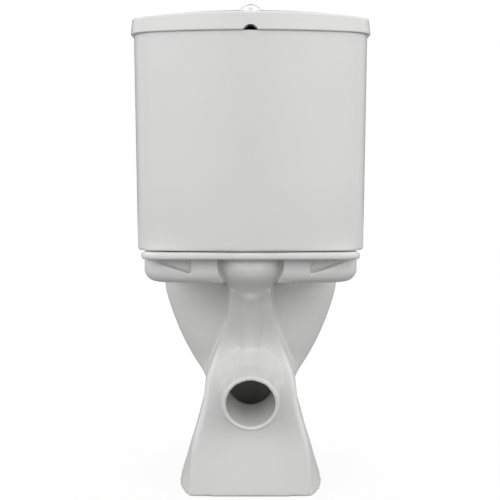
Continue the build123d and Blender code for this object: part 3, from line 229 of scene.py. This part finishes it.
WELD_DISTANCE = 1e-6
GRID_SIZE = 0.0025
EASE_FACTOR = 0.5
PAN_ROUNDS = 5
KEPT_FACES = 0.5
# The middle of the column, below the inlet boss, is eased for more rounds
COLUMN_LOW = (-0.03, 0.1, 0.275)
COLUMN_HIGH = (0.03, 0.32, 0.392)
COLUMN_ROUNDS = 16


def in_column(place):
    return all(low < value < high for low, value, high in zip(COLUMN_LOW, place, COLUMN_HIGH))


def ease_column(mesh):
    """Melt the rib of the column and the foot of its boss into one another."""
    work = bmesh.new()
    work.from_mesh(mesh)
    chosen = [vert for vert in work.verts if in_column(vert.co)]
    for _ in range(COLUMN_ROUNDS):
        bmesh.ops.smooth_vert(work, verts=chosen, factor=EASE_FACTOR,
                              use_axis_x=True, use_axis_y=True, use_axis_z=True)
    work.to_mesh(mesh)
    work.free()


def soften(node, name):
    """Show a node as a copy whose sharp inner corners are rounded."""
    obj = link(bpy.data.objects.new(name, nodes[node].data.copy()))
    work = bmesh.new()
    work.from_mesh(obj.data)
    bmesh.ops.remove_doubles(work, verts=work.verts, dist=WELD_DISTANCE)
    work.to_mesh(obj.data)
    work.free()
    grid = obj.modifiers.new("grid", "REMESH")
    grid.mode = "VOXEL"
    grid.voxel_size = GRID_SIZE
    ease = obj.modifiers.new("ease", "SMOOTH")
    ease.factor = EASE_FACTOR
    ease.iterations = PAN_ROUNDS
    thin = obj.modifiers.new("thin", "DECIMATE")
    thin.ratio = KEPT_FACES
    view = bpy.context.evaluated_depsgraph_get()
    mesh = bpy.data.meshes.new_from_object(obj.evaluated_get(view))
    obj.modifiers.clear()
    obj.data = mesh
    ease_column(mesh)
    for face in mesh.polygons:
        face.use_smooth = True
    mesh.materials.clear()
    mesh.materials.append(FINISHES[slots[node]])
    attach(obj, "fixture")
    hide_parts(node)


soften("pan", "pan_china")


# The return springs, each shown as a copy with a mesh of its own


def press_spring(node):
    """Show a spring as a copy with a mesh of its own, in place of its node."""
    coil = link(bpy.data.objects.new(node + "_coil", nodes[node].data.copy()))
    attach(coil, "fixture")
    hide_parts(node)
    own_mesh(coil)


for joint in frame["record"]["behaviour"]["joints"]:
    for row in joint.get("deforming_nodes", []):
        press_spring(row["node"])


# The floor: a matt sheet that glows for the camera, and less in mirrors and through glass

FLOOR_HALF = 12.0
FLOOR_COLOUR = (0.16, 0.16, 0.16)
FLOOR_GLOW = 0.845
FLOOR_MIRRORED = 0.35


def mirrored_or_clear(tree, path):
    """One where a ray comes from a mirror or through glass, and nought elsewhere."""
    return tree.calc("MAXIMUM", path.outputs["Is Glossy Ray"], path.outputs["Is Transmission Ray"])


floor_mesh = bpy.data.meshes.new("floor")
corners = [(-FLOOR_HALF, -FLOOR_HALF, 0), (FLOOR_HALF, -FLOOR_HALF, 0)]
corners += [(FLOOR_HALF, FLOOR_HALF, 0), (-FLOOR_HALF, FLOOR_HALF, 0)]
floor_mesh.from_pydata(corners, [], [(0, 1, 2, 3)])
floor = link(bpy.data.objects.new("floor", floor_mesh))

paper = bpy.data.materials.new("floor_paper")
paper_tree = Tree(paper)
paper_tree.graph.nodes.clear()
matt = paper_tree.add("ShaderNodeBsdfDiffuse")
matt.inputs["Color"].default_value = opaque(FLOOR_COLOUR)
glow = paper_tree.add("ShaderNodeEmission")
paper_path = paper_tree.add("ShaderNodeLightPath")
paper_seen = paper_tree.calc("MULTIPLY", mirrored_or_clear(paper_tree, paper_path), FLOOR_MIRRORED)
paper_seen = paper_tree.calc("MAXIMUM", paper_seen, paper_path.outputs["Is Camera Ray"])
paper_tree.join(paper_tree.calc("MULTIPLY", paper_seen, FLOOR_GLOW), glow.inputs["Strength"])
both = paper_tree.add("ShaderNodeAddShader")
paper_tree.join(matt.outputs["BSDF"], both.inputs[0])
paper_tree.join(glow.outputs["Emission"], both.inputs[1])
paper_out = paper_tree.add("ShaderNodeOutputMaterial")
paper_tree.join(both.outputs["Shader"], paper_out.inputs["Surface"])
floor_mesh.materials.append(paper)


# Soft lights of the studio, each of which shines from both sides. A wall of light stands behind
# the part: strength at each angle round from straight behind, and the share at each height.
# The lights in front have their angle round, angle up and strength. Angles are in degrees, and
# a higher focus makes a light narrower.

WALL_ROUND = ((0.0, 0.39), (25.0, 1.05), (50.0, 0.88), (75.0, 0.58), (100.0, 0.8))
WALL_UP = ((5.0, 1.0), (20.0, 0.8), (35.0, 0.4))
WALL_FOCUS = 16.0
FRONT_LIGHTS = ((132.0, 45.0, 1.4), (180.0, 80.0, 1.2))
FRONT_FOCUS = 8.0
STUDIO = [(turn, up, strength * share, WALL_FOCUS)
          for turn, strength in WALL_ROUND for up, share in WALL_UP]
STUDIO += [(turn, up, strength, FRONT_FOCUS) for turn, up, strength in FRONT_LIGHTS]
WHITE_LIGHT = (1.0, 1.0, 1.0)
BACKDROP_EDGE = (0.985, 0.996)  # how nearly straight ahead a mirrored ray meets the white sheet

world = bpy.data.worlds.new("studio")
scene.world = world
sky = Tree(world)
sky.graph.nodes.clear()
look = sky.add("ShaderNodeTexCoord")
axes = sky.add("ShaderNodeSeparateXYZ")
sky.join(look.outputs["Generated"], axes.inputs["Vector"])
either_side = sky.add("ShaderNodeCombineXYZ")
sky.join(sky.calc("ABSOLUTE", axes.outputs["X"], 0.0), either_side.inputs["X"])
sky.join(axes.outputs["Y"], either_side.inputs["Y"])
sky.join(axes.outputs["Z"], either_side.inputs["Z"])
total = None
for turn, up, strength, focus in STUDIO:
    flat = cos(radians(up))
    aim = sky.add("ShaderNodeVectorMath", operation="DOT_PRODUCT")
    sky.join(either_side.outputs["Vector"], aim.inputs[0])
    aim.inputs[1].default_value = (flat * sin(radians(turn)), flat * cos(radians(turn)), sin(radians(up)))
    near = sky.calc("MAXIMUM", aim.outputs["Value"], 0.0)
    soft = sky.calc("MULTIPLY", sky.calc("POWER", near, focus), strength)
    total = soft if total is None else sky.calc("ADD", total, soft)
dome = sky.add("ShaderNodeBackground")
dome.inputs["Color"].default_value = opaque(WHITE_LIGHT)
sky.join(total, dome.inputs["Strength"])
backdrop = sky.add("ShaderNodeBackground")
backdrop.inputs["Color"].default_value = opaque(WHITE_LIGHT)
sky_path = sky.add("ShaderNodeLightPath")
ahead = sky.calc("MULTIPLY", axes.outputs["Y"], -1.0)
sheet = sky.spread(ahead, 0.0, 1.0, *BACKDROP_EDGE)
sky_seen = sky.calc("MULTIPLY", mirrored_or_clear(sky, sky_path), sheet)
sky_seen = sky.calc("MAXIMUM", sky_seen, sky_path.outputs["Is Camera Ray"])
choice = sky.add("ShaderNodeMixShader")
sky.join(sky_seen, choice.inputs["Fac"])
sky.join(dome.outputs["Background"], choice.inputs[1])
sky.join(backdrop.outputs["Background"], choice.inputs[2])
sky_out = sky.add("ShaderNodeOutputWorld")
sky.join(choice.outputs["Shader"], sky_out.inputs["Surface"])


# The camera stands level behind the part, and its picture is shifted to keep uprights upright

PICTURE_SIDE = 500
PICTURE_MIDDLE = 0.5
SENSOR_MM = 36.0
FOCAL_PIXELS = 1062.5
CAMERA_PLACE = (0.0, 2.025, 0.526)
HORIZON_ROW = 190
CENTRE_COLUMN = 250.6

camera_data = bpy.data.cameras.new("camera")
camera_data.sensor_width = SENSOR_MM
camera_data.lens = FOCAL_PIXELS / PICTURE_SIDE * SENSOR_MM
camera_data.shift_x = PICTURE_MIDDLE - CENTRE_COLUMN / PICTURE_SIDE
camera_data.shift_y = HORIZON_ROW / PICTURE_SIDE - PICTURE_MIDDLE
camera = link(bpy.data.objects.new("camera", camera_data))
camera.location = CAMERA_PLACE
camera.rotation_euler = (radians(90), 0, radians(180))
scene.camera = camera

scene.view_settings.view_transform = "Standard"
